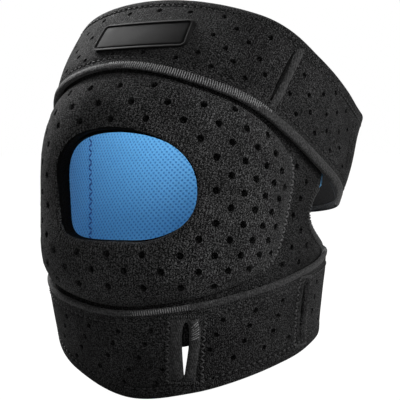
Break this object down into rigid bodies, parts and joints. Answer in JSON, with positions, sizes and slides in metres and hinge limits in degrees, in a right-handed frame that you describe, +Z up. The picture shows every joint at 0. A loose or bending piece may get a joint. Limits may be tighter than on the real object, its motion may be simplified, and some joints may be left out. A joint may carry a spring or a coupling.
{
  "type": "wraparound knee support with an open patella pad",
  "caption": "Black neoprene knee support with a padded, perforated front, an opening over the kneecap, blue mesh lining and two wrap straps with stitched slits.",
  "frame": {"origin": "middle of the knee, inside the support, where the leg goes through", "axes": "+Z up along the lower leg, -Y to the front of the knee, +X to the right seen from the front"},
  "size_m": [0.1285, 0.1756, 0.1703],
  "materials": {
    "blue_mesh": "matt mesh cloth",
    "neoprene": "matt knit-faced neoprene",
    "padded_knit": "matt perforated knit over foam",
    "strap_knit": "matt perforated loop knit",
    "rubber": "satin moulded",
    "hook_tape": "matt hook tape"
  },
  "bodies": {
    "root": {"panel_lining": "blue_mesh", "body_panel": "neoprene", "knee_pad": "padded_knit", "upper_strap": "strap_knit", "lower_strap": "strap_knit", "rubber_patch": "rubber", "upper_fastening_tab": "hook_tape", "lower_fastening_tab": "hook_tape"}
  },
  "joints": []
}
